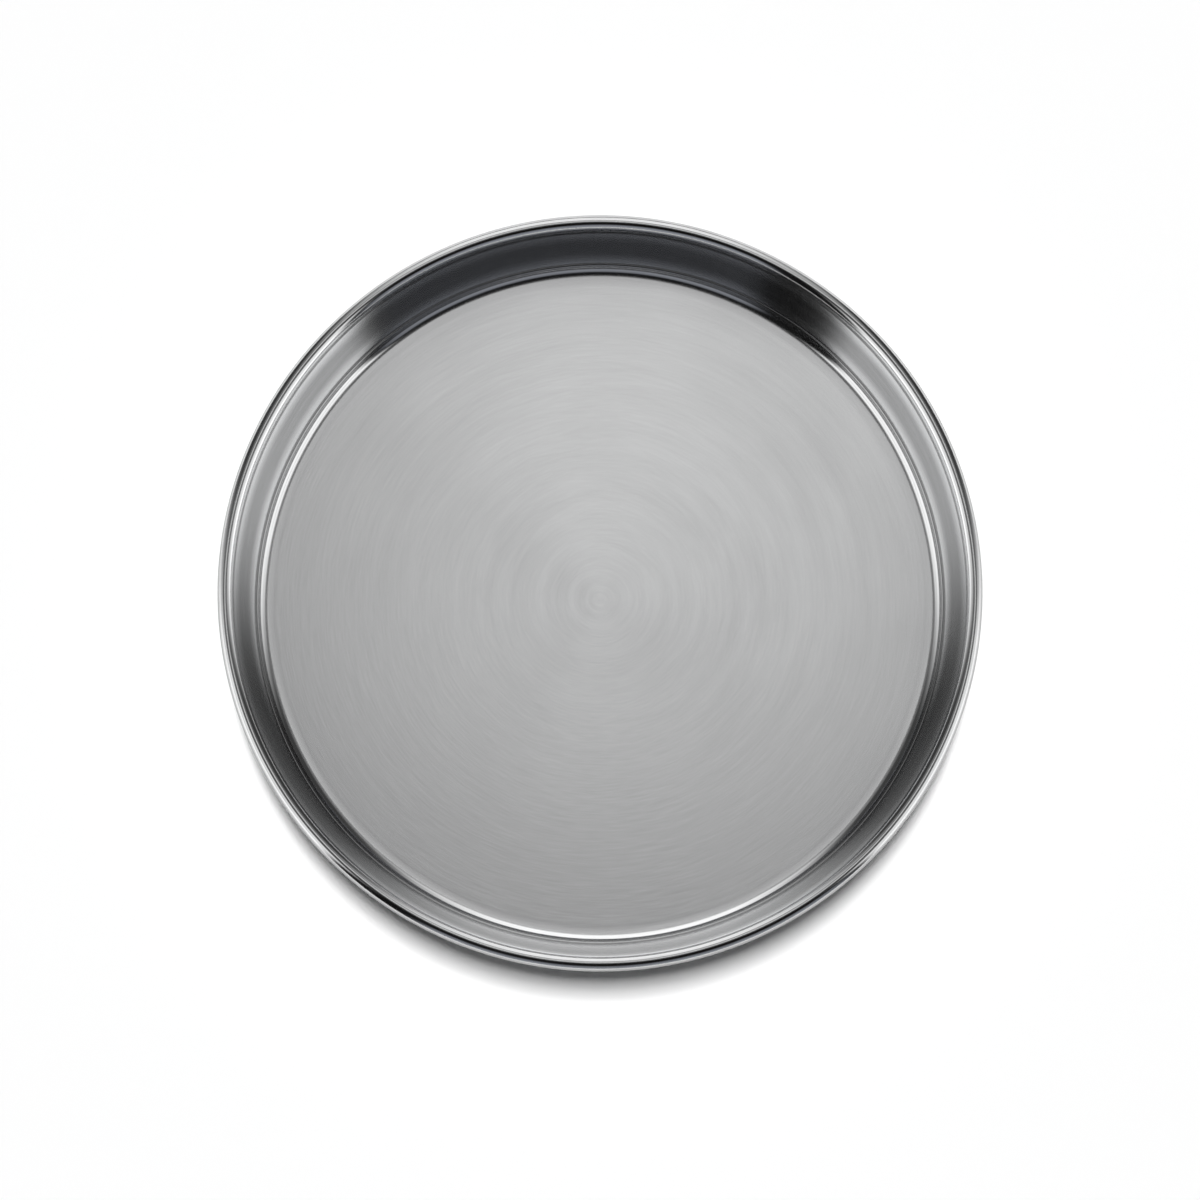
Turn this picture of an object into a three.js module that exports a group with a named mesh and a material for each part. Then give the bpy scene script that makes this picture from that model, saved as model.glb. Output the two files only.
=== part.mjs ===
// Dough kneading plate: a round, shallow stainless-steel pan with a wired rim.
// Millimetres, +Z up. The plate lies on its base and the origin is the centre of the underside.
import * as THREE from "three";

// Overall sizes
const RIM_DIAMETER = 300; // over the rolled rim
const HEIGHT = 38; // underside to the top of the rim
const SHEET = 0.8; // thickness of the stainless sheet

// Wall and foot
const WALL_FLARE = 14.1; // degrees that the wall leans out from upright
const CORNER_RADIUS = 4.4; // inside bend between the floor and the foot step
const CORNER_SLOPE = 48; // degrees from flat where that bend meets the foot step
const RISER_SLOPE = 85; // degrees from flat of the step's riser
const RISER_LENGTH = 1.7; // straight part of the riser
const LEDGE_SLOPE = 4; // degrees from flat of the narrow ledge above the riser
const STEP_BEND = 0.3; // inside radius of the three tight bends of the foot step

// Wired rim
const WIRE_DIAMETER = 4; // rim wire
const WIRE_CLEARANCE = 0.2; // wire to sheet, all round
const RIM_STEP = 1.6; // how far the rolled rim stands in from the wall
const NECK_RADIUS = 12; // bend under the rim, to the middle of the sheet
const LIP_GAP = 0.4; // cut edge of the curl to the outside of the wall

// Facets
const AROUND = 96; // facets round the plate
const WIRE_SIDES = 12; // facets round the wire
const CORNER_STEPS = 4;
const STEP_STEPS = [2, 3, 2]; // the tight bends of the foot step: crease, shoulder, heel
const NECK_STEPS = 3;
const CURL_STEPS = [6, 4, 6]; // neck to top, top to outermost, outermost to cut edge

// Steel
const SHELL_COLOUR = 0xb4b5b6;
const WIRE_COLOUR = 0x9fa0a1;

const radians = THREE.MathUtils.degToRad;
const at = (r, z) => new THREE.Vector2(r, z);

// The unit vector to the right of a heading that is measured up from flat.
const rightOf = (heading) => at(Math.sin(heading), -Math.cos(heading));

const half = SHEET / 2;
const wallHeading = Math.PI / 2 - radians(WALL_FLARE);
const cornerHeading = radians(CORNER_SLOPE);
const riserHeading = radians(RISER_SLOPE);
const ledgeHeading = radians(LEDGE_SLOPE);
const alongWall = at(Math.cos(wallHeading), Math.sin(wallHeading));
const outOfWall = rightOf(wallHeading);

// Rolled rim: the curl and the wire share one centre.
const curlInside = WIRE_DIAMETER / 2 + WIRE_CLEARANCE;
const curlRadius = curlInside + half;
const curlOutside = curlInside + SHEET;
const curlCentre = at(RIM_DIAMETER / 2 - curlOutside, HEIGHT - curlOutside);

// The neck is tangent to the wall below it and to the curl above it.
const wallToCurl = curlRadius - RIM_STEP;
const neckReach = NECK_RADIUS + curlRadius;
const neckDrop = Math.sqrt(neckReach ** 2 - (NECK_RADIUS + wallToCurl) ** 2);
const wallTop = curlCentre.clone()
  .addScaledVector(outOfWall, -wallToCurl)
  .addScaledVector(alongWall, -neckDrop);
const neckCentre = wallTop.clone().addScaledVector(outOfWall, -NECK_RADIUS);
const neckEnd = curlCentre.clone().sub(neckCentre).angle();
const lipReach = Math.acos((wallToCurl - half - LIP_GAP) / curlOutside);
const lipAngle = outOfWall.angle() + Math.PI + lipReach;

// Foot step: a crease, a straight riser, a shoulder and a heel, each tangent to the next, that
// carry the floor's corner up into the wall.
const cornerRadius = CORNER_RADIUS + half;
const stepRadius = STEP_BEND + half;
const upRiser = at(Math.cos(riserHeading), Math.sin(riserHeading));
const toCrease = rightOf(cornerHeading).multiplyScalar(cornerRadius - stepRadius);
const creaseToRiser = rightOf(riserHeading).multiplyScalar(stepRadius);
const riserToShoulder = upRiser.clone().multiplyScalar(RISER_LENGTH).add(creaseToRiser);
const shoulderToHeel = rightOf(ledgeHeading).multiplyScalar(-2 * stepRadius);
const heelToWall = outOfWall.clone().multiplyScalar(stepRadius);
const cornerToWall = [creaseToRiser, riserToShoulder, shoulderToHeel, heelToWall]
  .reduce((sum, leg) => sum.add(leg), toCrease.clone());

// The floor reaches out as far as brings the last bend onto the line of the wall.
const cornerHeight = half + cornerRadius;
const wallRun = (wallTop.y - cornerHeight - cornerToWall.y) / alongWall.y;
const wallFoot = wallTop.clone().addScaledVector(alongWall, -wallRun);
const cornerCentre = wallFoot.clone().sub(cornerToWall);
const creaseCentre = cornerCentre.clone().add(toCrease);
const riserFoot = creaseCentre.clone().add(creaseToRiser);
const riserTop = riserFoot.clone().addScaledVector(upRiser, RISER_LENGTH);
const shoulderCentre = riserFoot.clone().add(riserToShoulder);
const heelCentre = shoulderCentre.clone().add(shoulderToHeel);

const line = (from, to) => ({ curve: new THREE.LineCurve(from, to), steps: 1 });
const bend = (centre, radius, from, to, clockwise, steps) => ({
  curve: new THREE.EllipseCurve(centre.x, centre.y, radius, radius, from, to, clockwise),
  steps,
});
const leftSide = (heading) => heading - Math.PI / 2; // where a bend to the left starts or ends
const rightSide = (heading) => heading + Math.PI / 2; // the same for a bend to the right

// The middle of the sheet, from the axis out to the cut edge inside the rim.
const corner = bend(
  cornerCentre, cornerRadius, leftSide(0), leftSide(cornerHeading), false, CORNER_STEPS);
const crease = bend(
  creaseCentre, stepRadius, leftSide(cornerHeading), leftSide(riserHeading), false, STEP_STEPS[0]);
const shoulder = bend(
  shoulderCentre, stepRadius, rightSide(riserHeading), rightSide(ledgeHeading), true, STEP_STEPS[1]);
const heel = bend(
  heelCentre, stepRadius, leftSide(ledgeHeading), leftSide(wallHeading), false, STEP_STEPS[2]);
const neck = bend(
  neckCentre, NECK_RADIUS, leftSide(wallHeading), neckEnd, false, NECK_STEPS);
const curlStops = [neckEnd + Math.PI, Math.PI / 2, 0, lipAngle];
const curl = CURL_STEPS.map((steps, i) => bend(
  curlCentre, curlRadius, curlStops[i], curlStops[i + 1], true, steps));
const sheetLine = [
  line(at(0, half), corner.curve.getPoint(0)),
  corner,
  crease,
  line(riserFoot, riserTop),
  shoulder,
  heel,
  line(wallFoot, wallTop),
  neck,
  ...curl,
];

// The two faces of the sheet lie half its thickness to each side of that line.
function sheetProfile(pieces) {
  const outer = [];
  const inner = [];
  const addPair = (curve, t) => {
    const middle = curve.getPoint(t);
    const side = rightOf(curve.getTangent(t).angle()).multiplyScalar(half);
    outer.push(middle.clone().add(side));
    inner.push(middle.clone().sub(side));
  };
  addPair(pieces[0].curve, 0);
  for (const { curve, steps } of pieces) {
    for (let i = 1; i <= steps; i += 1) {
      addPair(curve, i / steps);
    }
  }
  return [...outer, ...inner.reverse()];
}

function steelPiece(name, geometry, colour, roughness) {
  const material = new THREE.MeshStandardMaterial({ color: colour, roughness, metalness: 1 });
  const mesh = new THREE.Mesh(geometry, material);
  mesh.name = name;
  return mesh;
}

// One spun and pressed sheet: floor, foot step, leaning wall, neck and curled rim.
const shellShape = new THREE.LatheGeometry(sheetProfile(sheetLine), AROUND);
shellShape.rotateX(Math.PI / 2);
const shell = steelPiece("plate_shell", shellShape, SHELL_COLOUR, 0.32);

// The wire ring that the edge of the sheet is curled round.
const wireShape = new THREE.TorusGeometry(curlCentre.x, WIRE_DIAMETER / 2, WIRE_SIDES, AROUND);
wireShape.translate(0, 0, curlCentre.y);
const wire = steelPiece("rim_wire", wireShape, WIRE_COLOUR, 0.4);

const plate = new THREE.Group();
plate.name = "dough_kneading_plate";
plate.add(shell, wire);

export default plate;
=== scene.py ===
# Dough kneading plate: a round, shallow stainless-steel pan with a brushed floor and a wired rim.
# Metres, +Z up, in the frame of the CAD model: the plate lies on its base, centred on its axis.
import math

import bpy
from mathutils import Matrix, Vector


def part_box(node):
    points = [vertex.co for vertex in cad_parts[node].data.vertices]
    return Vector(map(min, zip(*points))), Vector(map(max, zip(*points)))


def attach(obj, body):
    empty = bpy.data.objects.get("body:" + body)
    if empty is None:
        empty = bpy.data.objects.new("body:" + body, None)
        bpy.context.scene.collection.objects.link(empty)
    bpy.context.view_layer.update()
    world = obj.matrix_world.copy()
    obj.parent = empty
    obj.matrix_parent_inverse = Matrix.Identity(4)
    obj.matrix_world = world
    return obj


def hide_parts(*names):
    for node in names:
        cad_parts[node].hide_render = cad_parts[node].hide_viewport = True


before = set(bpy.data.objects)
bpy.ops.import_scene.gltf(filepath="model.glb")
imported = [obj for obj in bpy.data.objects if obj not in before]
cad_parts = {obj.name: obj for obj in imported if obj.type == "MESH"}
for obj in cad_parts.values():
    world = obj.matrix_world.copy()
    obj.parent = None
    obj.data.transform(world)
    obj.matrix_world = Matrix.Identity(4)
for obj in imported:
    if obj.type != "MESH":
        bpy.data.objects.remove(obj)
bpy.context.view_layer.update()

# Plate shell
# One disc of stainless sheet, pressed to a flat floor with a small step at its foot, spun up into
# a leaning wall and curled outward at the rim. It is brushed round the axis: satin on the floor,
# burnished on the wall and the rim. Its colour carries painted shade in the tight bends, at the
# floor's edge and along the rim's outer edge, and painted light and shade on the wall and rim.
MM = 0.001
plate_low, plate_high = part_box("plate_shell")
rim_radius = plate_high[0]
height = plate_high[2]
sheet = 0.8 * MM
half = sheet / 2
wall_lean = math.radians(14.1)
corner_bend = 4.4 * MM  # inside, floor to foot step
corner_slope = math.radians(48)
onset_radius = 50 * MM  # gentle start of that bend
onset_slope = math.radians(3)
riser_slope = math.radians(85)
riser_length = 1.7 * MM
ledge_slope = math.radians(4)
step_bend = 0.3 * MM  # inside, the three tight bends of the foot step
wire_radius = 2.0 * MM
wire_clearance = 0.2 * MM
rim_step = 1.6 * MM  # how far the rolled rim stands in from the wall
neck_radius = 12 * MM
lip_gap = 0.4 * MM  # cut edge to the outside of the wall
lip_steps = 8  # facets of the rounded cut edge
facets_round = 288


def right_of(heading):
    """The unit vector to the right of a heading measured up from flat, as (radius, height)."""
    return Vector((math.sin(heading), -math.cos(heading)))


def straight(start, end, steps):
    """Points along the middle of the sheet after start, each with its right-hand side."""
    run = end - start
    right = right_of(math.atan2(run.y, run.x))
    return [(start + run * (i / steps), right) for i in range(1, steps + 1)]


def bend(centre, radius, heading, new_heading, steps):
    """The same for a bend, to the left where the heading grows and to the right where it falls."""
    side = math.copysign(radius, new_heading - heading)
    rights = [right_of(heading + (new_heading - heading) * i / steps) for i in range(1, steps + 1)]
    return [(centre + right * side, right) for right in rights]


def spin(name, outline, rounds):
    """A smooth mesh spun from a closed outline of (point, outward normal) pairs."""
    points, normals, rings = [], [], []
    for place, normal in outline:
        on_axis = place.x < 1e-9
        ring = []
        for i in range(1 if on_axis else rounds):
            turn = 2 * math.pi * i / rounds
            ring.append(len(points))
            points.append((place.x * math.cos(turn), place.x * math.sin(turn), place.y))
            normals.append((normal.x * math.cos(turn), normal.x * math.sin(turn), normal.y))
        rings.append(ring * rounds if on_axis else ring)
    pairs = list(zip(rings, rings[1:]))
    if len(set(rings[0])) > 1:
        pairs.append((rings[-1], rings[0]))
    faces = []
    for low, high in pairs:
        for i in range(rounds):
            j = (i + 1) % rounds
            corners = dict.fromkeys((low[i], low[j], high[j], high[i]))
            faces.append(tuple(corners))
    mesh = bpy.data.meshes.new(name)
    mesh.from_pydata(points, [], faces)
    mesh.shade_smooth()
    mesh.normals_split_custom_set_from_vertices(normals)
    piece = bpy.data.objects.new(name, mesh)
    bpy.context.scene.collection.objects.link(piece)
    return piece


wall_heading = math.pi / 2 - wall_lean
along_wall = Vector((math.cos(wall_heading), math.sin(wall_heading)))
out_of_wall = right_of(wall_heading)
curl_radius = wire_radius + wire_clearance + half
curl_outside = curl_radius + half
curl_centre = Vector((rim_radius - curl_outside, height - curl_outside))
wall_to_curl = curl_radius - rim_step
neck_drop = math.sqrt((neck_radius + curl_radius) ** 2 - (neck_radius + wall_to_curl) ** 2)
wall_top = curl_centre - out_of_wall * wall_to_curl - along_wall * neck_drop
neck_centre = wall_top - out_of_wall * neck_radius
neck_to_curl = curl_centre - neck_centre
neck_heading = math.atan2(neck_to_curl.y, neck_to_curl.x) + math.pi / 2
lip_reach = math.acos((wall_to_curl - half - lip_gap) / curl_outside)
lip_heading = wall_heading - 2 * math.pi + lip_reach
lip_heading += half / curl_radius  # room for the rounded edge

corner_radius = corner_bend + half
step_radius = step_bend + half
up_riser = Vector((math.cos(riser_slope), math.sin(riser_slope)))
to_crease = right_of(corner_slope) * (corner_radius - step_radius)
to_shoulder = to_crease + right_of(riser_slope) * (2 * step_radius) + up_riser * riser_length
to_heel = to_shoulder - right_of(ledge_slope) * (2 * step_radius)
corner_to_wall = to_heel + out_of_wall * step_radius
onset_lift = (onset_radius - corner_radius) * (1 - math.cos(onset_slope))
corner_height = half + corner_radius + onset_lift
wall_run = (wall_top.y - corner_height - corner_to_wall.y) / along_wall.y
wall_foot = wall_top - along_wall * wall_run
corner_centre = wall_foot - corner_to_wall
riser_foot = corner_centre + to_crease + right_of(riser_slope) * step_radius

middle = [(Vector((0, half)), right_of(0))]
onset_centre = corner_centre - right_of(onset_slope) * (onset_radius - corner_radius)
middle += straight(middle[0][0], Vector((onset_centre.x, half)), steps=16)
middle += bend(onset_centre, onset_radius, 0, onset_slope, steps=4)
middle += bend(corner_centre, corner_radius, onset_slope, corner_slope, steps=20)
middle += bend(corner_centre + to_crease, step_radius, corner_slope, riser_slope, steps=8)
middle += straight(riser_foot, riser_foot + up_riser * riser_length, steps=2)
middle += bend(corner_centre + to_shoulder, step_radius, riser_slope, ledge_slope, steps=10)
middle += bend(corner_centre + to_heel, step_radius, ledge_slope, wall_heading, steps=10)
middle += straight(wall_foot, wall_top, steps=10)
middle += bend(neck_centre, neck_radius, wall_heading, neck_heading, steps=10)
middle += bend(curl_centre, curl_radius, neck_heading, lip_heading, steps=64)
lip_place, lip_right = middle[-1]
lip_ahead = Vector((-lip_right.y, lip_right.x))
lip_turns = [math.pi * i / lip_steps for i in range(1, lip_steps)]
lip = [lip_right * math.cos(turn) + lip_ahead * math.sin(turn) for turn in lip_turns]
outline = [(place + right * half, right) for place, right in middle]
outline += [(lip_place + normal * half, normal) for normal in lip]
outline += [(place - right * half, -right) for place, right in reversed(middle)]
shell = spin("brushed_shell", outline, facets_round)

# Lines round the plate, as (radius, height), along the tight bends where shade is painted.
shoulder_side = right_of(math.radians(50))  # the part of the shoulder that faces up the wall
crease_line = corner_centre + to_crease + right_of((corner_slope + riser_slope) / 2) * step_bend
shoulder_line = corner_centre + to_shoulder - shoulder_side * (step_radius + half)
heel_line = corner_centre + to_heel + right_of((ledge_slope + wall_heading) / 2) * step_bend
neck_line = neck_centre + right_of(wall_heading * 0.6 + neck_heading * 0.4) * (neck_radius - half)


class Shade:
    """A socket of a material's nodes. Sums on it add Math nodes; node() adds any other."""

    def __init__(self, tree, socket):
        self.tree = tree
        self.socket = socket

    @staticmethod
    def node(tree, kind, settings=None, sockets=None, out=0):
        made = tree.nodes.new(kind)
        for name, value in (settings or {}).items():
            setattr(made, name, value)
        for name, value in (sockets or {}).items():
            if isinstance(value, Shade):
                tree.links.new(value.socket, made.inputs[name])
            else:
                made.inputs[name].default_value = value
        return Shade(tree, made.outputs[out]) if made.outputs else made

    def maths(self, operation, *others, swapped=False):
        values = (*others, self) if swapped else (self, *others)
        return Shade.node(
            self.tree, "ShaderNodeMath", {"operation": operation}, dict(enumerate(values)))

    def __add__(self, other):
        return self.maths("ADD", other)

    def __sub__(self, other):
        return self.maths("SUBTRACT", other)

    def __mul__(self, other):
        return self.maths("MULTIPLY", other)

    def __truediv__(self, other):
        return self.maths("DIVIDE", other)

    def __rsub__(self, other):
        return self.maths("SUBTRACT", other, swapped=True)

    def __rtruediv__(self, other):
        return self.maths("DIVIDE", other, swapped=True)

    __radd__ = __add__
    __rmul__ = __mul__

    def between(self, low, high):
        """0 below low and 1 above high, with a soft step between them."""
        return Shade.node(
            self.tree, "ShaderNodeMapRange", {"interpolation_type": "SMOOTHSTEP"},
            {"Value": self, "From Min": low, "From Max": high})


def empty_material(name):
    material = bpy.data.materials.new(name)
    material.use_nodes = True
    material.node_tree.nodes.clear()
    return material, material.node_tree


class SteelFace:
    """Where a point of the plate's steel lies: its distance from the axis, its height, its turn."""

    def __init__(self, tree):
        self.tree = tree
        self.place = Shade.node(tree, "ShaderNodeTexCoord", out="Object")
        x = Shade.node(tree, "ShaderNodeSeparateXYZ", sockets={0: self.place}, out="X")
        y = Shade(tree, x.socket.node.outputs["Y"])
        self.height = Shade(tree, x.socket.node.outputs["Z"])
        self.radius = (x * x + y * y).maths("SQRT").maths("MAXIMUM", 0.1 * MM)
        sweep = self.radius.maths("MAXIMUM", 60 * MM)  # nearer the axis, streaks keep their length
        self.turn = (x / sweep, y / sweep)

    def streaks(self, across, turns, detail):
        """Streaks from 0 to 1 that run round the plate, by their count across and round it."""
        lines = Shade.node(self.tree, "ShaderNodeCombineXYZ", sockets={
            "X": across, "Y": self.turn[0] * turns, "Z": self.turn[1] * turns})
        return Shade.node(self.tree, "ShaderNodeTexNoise", {"noise_dimensions": "3D"}, {
            "Vector": lines, "Scale": 1.0, "Detail": detail, "Roughness": 0.65})

    def near(self, line, inside, outside):
        """1 along a line round the plate, given as (radius, height), and 0 at outside from it."""
        out, above = self.radius - line.x, self.height - line.y
        return 1 - (out * out + above * above).maths("SQRT").between(inside, outside)


def brushed_steel():
    """Stainless sheet, brushed round the axis, with painted shade in its tight bends and at its
    floor's edge, and painted light and shade on its wall and rim.
    """
    material, tree = empty_material("brushed_steel")
    face = SteelFace(tree)
    along = face.radius + face.height  # distance out along the sheet, near enough
    hairlines = face.streaks(along * 1800, 9, 3.0)
    scores = face.streaks(along * 520, 4, 2.0)
    bands = face.streaks(along * 190, 1.2, 2.0)
    mottle = Shade.node(tree, "ShaderNodeTexNoise", {"noise_dimensions": "3D"}, {
        "Vector": face.place, "Scale": 26.0, "Detail": 3.0, "Roughness": 0.5})
    floor_end = corner_centre.x
    on_floor = 1 - face.radius.between(floor_end + 0.6 * MM, floor_end + 2.2 * MM)
    # The floor near its edge, where shade is painted into the tone below.
    floor_edge = face.radius.between(floor_end - 4 * MM, floor_end - 0.5 * MM) * on_floor
    on_bend = (1 - on_floor) * (1 - face.height.between(3 * MM, 5.5 * MM))
    # Bands up the plate that carry the painted light and shade in the tone below.
    on_wall = face.height.between(4.6 * MM, 5.6 * MM) * (1 - face.height.between(31 * MM, 33 * MM))
    mid_wall = face.height.between(6 * MM, 15 * MM) * (1 - face.height.between(22 * MM, 31 * MM))
    on_rim = face.height.between(wall_top.y, wall_top.y + 2 * MM)
    on_crest = face.height.between(height - 0.8 * MM, height - 0.2 * MM)
    # The outer edge of the rim: a little rougher, as if scuffed, and darkened with painted shade.
    rim_edge_shade_and_scuff = face.radius.between(rim_radius - 1.0 * MM, rim_radius - 0.2 * MM)
    # Painted shade: the tight bends of the foot step and the neck under the rim are darkened in the
    # colour, and made a little rougher.
    crease_shade = 0.7 * face.near(heel_line, 0.15 * MM, 0.7 * MM)
    crease_shade = crease_shade + 0.5 * face.near(crease_line, 0.1 * MM, 0.6 * MM)
    crease_shade = crease_shade + 0.5 * face.near(shoulder_line, 0.5 * MM, 1.0 * MM)
    crease_shade = crease_shade + 0.55 * face.near(neck_line, 0.4 * MM, 1.6 * MM)
    crease_shade = crease_shade.maths("MINIMUM", 0.65)
    roughness = 0.13 + 0.05 * on_floor - 0.02 * on_rim - 0.02 * on_bend
    roughness = roughness + 0.1 * crease_shade + 0.08 * rim_edge_shade_and_scuff
    roughness = roughness + (hairlines - 0.5) * 0.07 + (bands - 0.5) * 0.06 + (mottle - 0.5) * 0.05
    # Painted light and shade: the wall is lighter at its foot and top and darker in its middle, the
    # rim lighter and its crest darker.
    tone = 0.6 + on_wall * (0.22 - 0.45 * mid_wall) + 0.1 * on_rim - 0.24 * on_crest
    # Painted shade: a dark line along the outer edge of the rim and a darker band at the floor's
    # edge.
    tone = tone - 0.34 * rim_edge_shade_and_scuff - 0.09 * floor_edge
    tone = tone + (hairlines - 0.5) * 0.18 + (scores - 0.5) * 0.05 + (bands - 0.5) * 0.05
    tone = (tone + (mottle - 0.5) * 0.04) * (1 - crease_shade)
    colour = Shade.node(tree, "ShaderNodeCombineColor", sockets={
        "Red": tone * 0.995, "Green": tone, "Blue": tone * 1.005})
    relief = Shade.node(tree, "ShaderNodeBump", sockets={
        "Height": hairlines, "Strength": 0.06, "Distance": 0.02 * MM})
    shader = Shade.node(tree, "ShaderNodeBsdfPrincipled", sockets={
        "Base Color": colour, "Metallic": 1.0, "Roughness": roughness, "Normal": relief,
        "Anisotropic": 0.85, "Anisotropic Rotation": 0.25})
    Shade.node(tree, "ShaderNodeOutputMaterial", sockets={"Surface": shader})
    return material


shell.data.materials.append(brushed_steel())
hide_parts("plate_shell")
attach(shell, "root")

# Rim wire
# A ring of drawn steel wire that the edge of the sheet is curled round, to stiffen the rim. Its
# ends meet in a butt joint, and the curl hides all of it but a glimpse behind the cut edge.
wire_sides = 24
wire_turns = [2 * math.pi * i / wire_sides for i in range(wire_sides)]
wire_normals = [Vector((math.cos(turn), math.sin(turn))) for turn in wire_turns]
wire = spin("drawn_wire", [(curl_centre + n * wire_radius, n) for n in wire_normals], facets_round)


def drawn_steel():
    """Plain wire steel, with the long fine lines that the drawing die leaves along it."""
    material, tree = empty_material("drawn_steel")
    face = SteelFace(tree)
    out, above = face.radius - curl_centre.x, face.height - curl_centre.y
    die_lines = face.streaks(above.maths("ARCTAN2", out) * 9, 3, 3.0)
    stains = face.streaks(above.maths("ARCTAN2", out) * 1.5, 14, 2.0)
    tone = 0.46 + (die_lines - 0.5) * 0.22 + (stains - 0.5) * 0.12
    colour = Shade.node(tree, "ShaderNodeCombineColor", sockets={
        "Red": tone, "Green": tone * 0.99, "Blue": tone * 0.97})
    relief = Shade.node(tree, "ShaderNodeBump", sockets={
        "Height": die_lines, "Strength": 0.25, "Distance": 0.03 * MM})
    shader = Shade.node(tree, "ShaderNodeBsdfPrincipled", sockets={
        "Base Color": colour, "Metallic": 1.0, "Roughness": 0.34 + (stains - 0.5) * 0.2,
        "Normal": relief})
    Shade.node(tree, "ShaderNodeOutputMaterial", sockets={"Surface": shader})
    return material


wire.data.materials.append(drawn_steel())
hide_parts("rim_wire")
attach(wire, "root")

# Table
# A plain white table top under the plate, wide enough to run out of every view. It is a matt white
# laminate and takes the plate's soft shadow.
table_radius = 4
table_drop = 0.2 * MM  # under the plate, so that the two faces don't fight
table_white = (0.92, 0.92, 0.92, 1)
bpy.ops.mesh.primitive_circle_add(
    vertices=96, radius=table_radius, fill_type="NGON", location=(0, 0, -table_drop))
table = bpy.context.object
table.name = "table"
white, tree = empty_material("white_table")
lit = Shade.node(tree, "ShaderNodeBsdfDiffuse", sockets={"Color": table_white})
Shade.node(tree, "ShaderNodeOutputMaterial", sockets={"Surface": lit})
table.data.materials.append(white)

# Studio
# Soft panels in a dark room, which the steel mirrors: one beyond the top of the plate, one to each
# side with its inner part, a cool dim one in front, a ceiling with a glow, the dark of the camera,
# and a pale low wall all round, which is the background of low views.
scene = bpy.context.scene
world = bpy.data.worlds.new("studio")
world.use_nodes = True
tree = world.node_tree
tree.nodes.clear()
view_tilt = math.radians(8.67)
towards = Shade.node(tree, "ShaderNodeTexCoord", out="Generated")
east = Shade.node(tree, "ShaderNodeSeparateXYZ", sockets={0: towards}, out="X")
north = Shade(tree, east.socket.node.outputs["Y"])
up = Shade(tree, east.socket.node.outputs["Z"])
off_axis = up.maths("ARCCOSINE") * (180 / math.pi)


def panel(middle, right, left, right_soft, left_soft, near, far, near_soft):
    """A soft panel of light: middle is its bearing, then its reach right and left of that and from
    near the axis outward, all in degrees, and how soft each of those edges is."""
    turn = math.radians(middle)
    ahead = east * math.cos(turn) + north * math.sin(turn)
    aside = north * math.cos(turn) - east * math.sin(turn)
    bearing = aside.maths("ARCTAN2", ahead) * (180 / math.pi)
    across = bearing.between(-right - right_soft, -right + right_soft)
    across = across * (1 - bearing.between(left - left_soft, left + left_soft))
    outward = off_axis.between(near - near_soft, near + near_soft)
    return across * outward * (1 - off_axis.between(far - 4, far + 4))


def off(towards_east, towards_north):
    """The angle in degrees from a direction that leans off the axis by two small angles."""
    lean = Vector((math.tan(math.radians(towards_east)), math.tan(math.radians(towards_north)), 1))
    lean.normalize()
    cosine = east * lean.x + north * lean.y + up * lean.z
    return cosine.maths("MINIMUM", 1.0).maths("ARCCOSINE") * (180 / math.pi)


white_light = (1, 1, 1, 1)
cool_light = (0.94, 0.98, 1.09, 1)
unlit = 0.01
top_bearing, right_bearing, left_bearing, front_bearing = 90, -12, 192, -90

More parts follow.
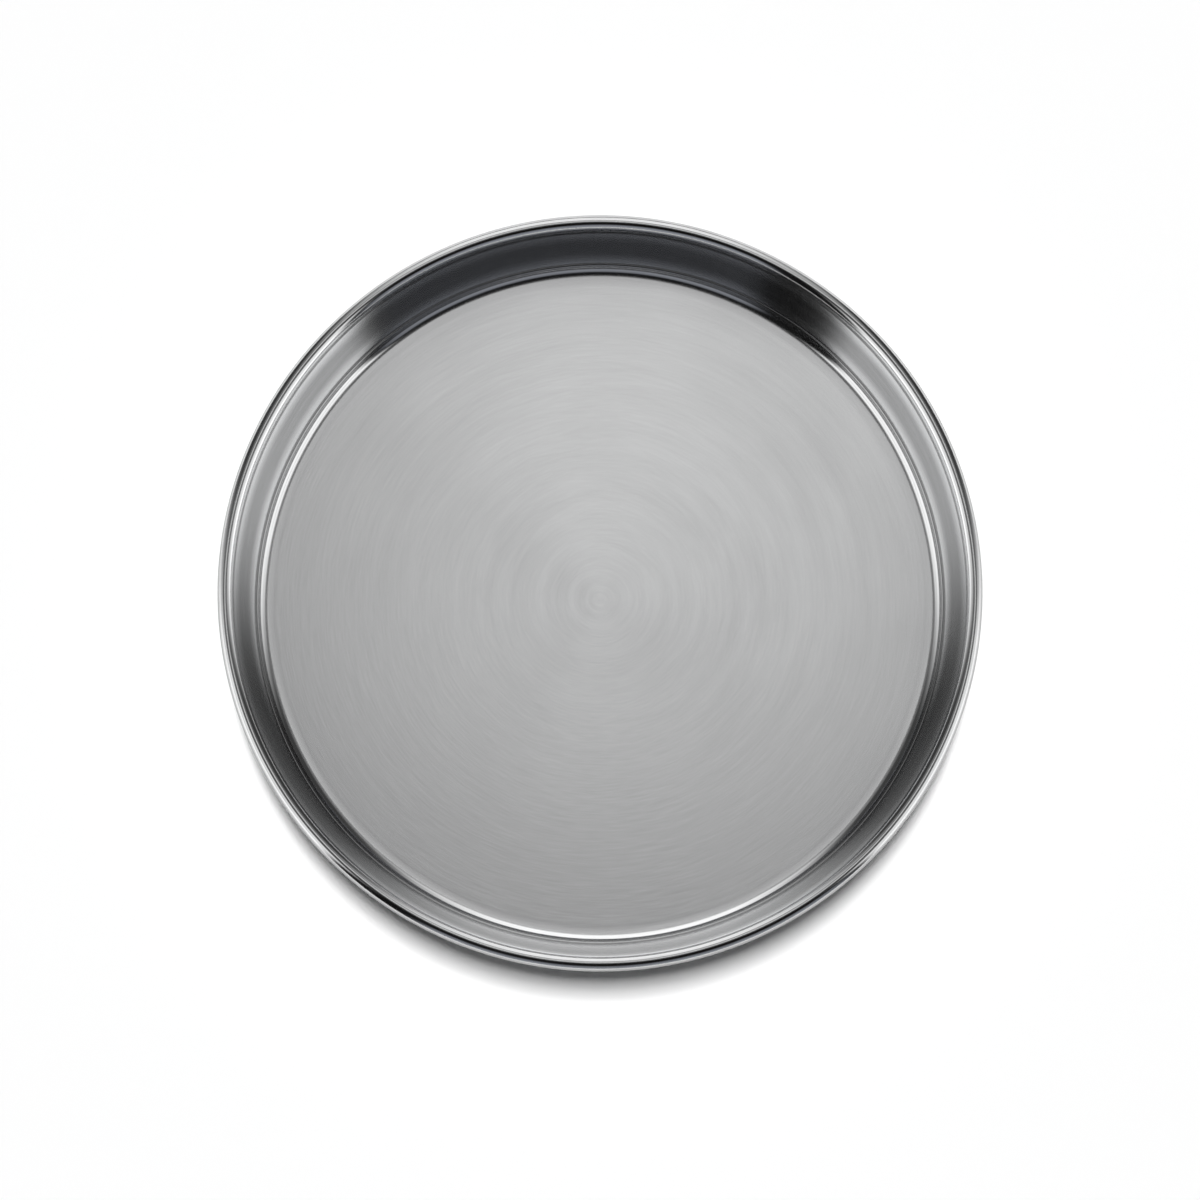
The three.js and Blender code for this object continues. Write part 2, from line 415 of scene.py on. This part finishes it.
ceiling = (1 - off(0, 20).between(16, 34)) * 0.22 + (1 - off(1.2, 11.4).between(3.5, 10)) * 0.98
top_panel = 1.6 * panel(
    top_bearing, right=24, left=28, right_soft=14, left_soft=14, near=28, far=74, near_soft=9)
right_panel = 1.55 * panel(
    right_bearing, right=26.5, left=27, right_soft=3, left_soft=17, near=42, far=100, near_soft=24)
left_panel = 1.55 * panel(
    left_bearing, right=27, left=26, right_soft=17, left_soft=3, near=42, far=100, near_soft=24)
right_fill = panel(
    right_bearing, right=27.5, left=26, right_soft=3, left_soft=17, near=27, far=46, near_soft=9)
left_fill = panel(
    left_bearing, right=26, left=27.5, right_soft=17, left_soft=3, near=27, far=46, near_soft=9)
back = 0.06 * panel(
    top_bearing, right=80, left=80, right_soft=10, left_soft=10, near=24, far=100, near_soft=10)
front = 0.24 * panel(
    front_bearing + 7, right=39, left=39, right_soft=4, left_soft=4, near=44, far=82, near_soft=6)
front = front + 0.08 * panel(
    front_bearing, right=33, left=40, right_soft=4, left_soft=4, near=58, far=82, near_soft=10)
room = ceiling + top_panel + right_panel + left_panel + right_fill + left_fill + back + unlit
past_camera = off(0, -math.degrees(view_tilt)).between(2, 4)
room = room * (0.4 + 0.6 * past_camera)
low_wall = off_axis.between(82, 87)
room = room + low_wall * (1 - room)
glow = Shade.node(tree, "ShaderNodeBackground", sockets={"Color": white_light, "Strength": room})
cool = Shade.node(tree, "ShaderNodeBackground", sockets={"Color": cool_light, "Strength": front})
both = Shade.node(tree, "ShaderNodeAddShader", sockets={0: glow, 1: cool})
Shade.node(tree, "ShaderNodeOutputWorld", sockets={"Surface": both})
scene.world = world
world.cycles_visibility.diffuse = False  # the lamps light the table, the panels only the steel
scene.view_settings.view_transform = "Standard"

lamp_leans = (4, 9.5, 15)  # degrees off the axis, for a shadow that softens outward
lamp_energy = 1.15
lamp_angle = math.radians(6)
for lean in lamp_leans:
    lamp_data = bpy.data.lights.new("table_lamp", "SUN")
    lamp_data.energy = lamp_energy
    lamp_data.angle = lamp_angle
    lamp = bpy.data.objects.new("table_lamp", lamp_data)
    lamp.rotation_euler = (math.radians(-lean), 0, 0)
    lamp.visible_glossy = False
    scene.collection.objects.link(lamp)

# Camera
# It looks straight into the open side of the plate, a little off its axis, from about 1.3 m, at the
# angle that the photograph was taken from.
view_distance = 1.328
view_lens = 99
camera_data = bpy.data.cameras.new("camera")
camera_data.lens = view_lens
camera = bpy.data.objects.new("camera", camera_data)
view_height = sheet + view_distance * math.cos(view_tilt)
camera.location = (0, -view_distance * math.sin(view_tilt), view_height)
camera.rotation_euler = (view_tilt, 0, 0)
scene.collection.objects.link(camera)
scene.camera = camera
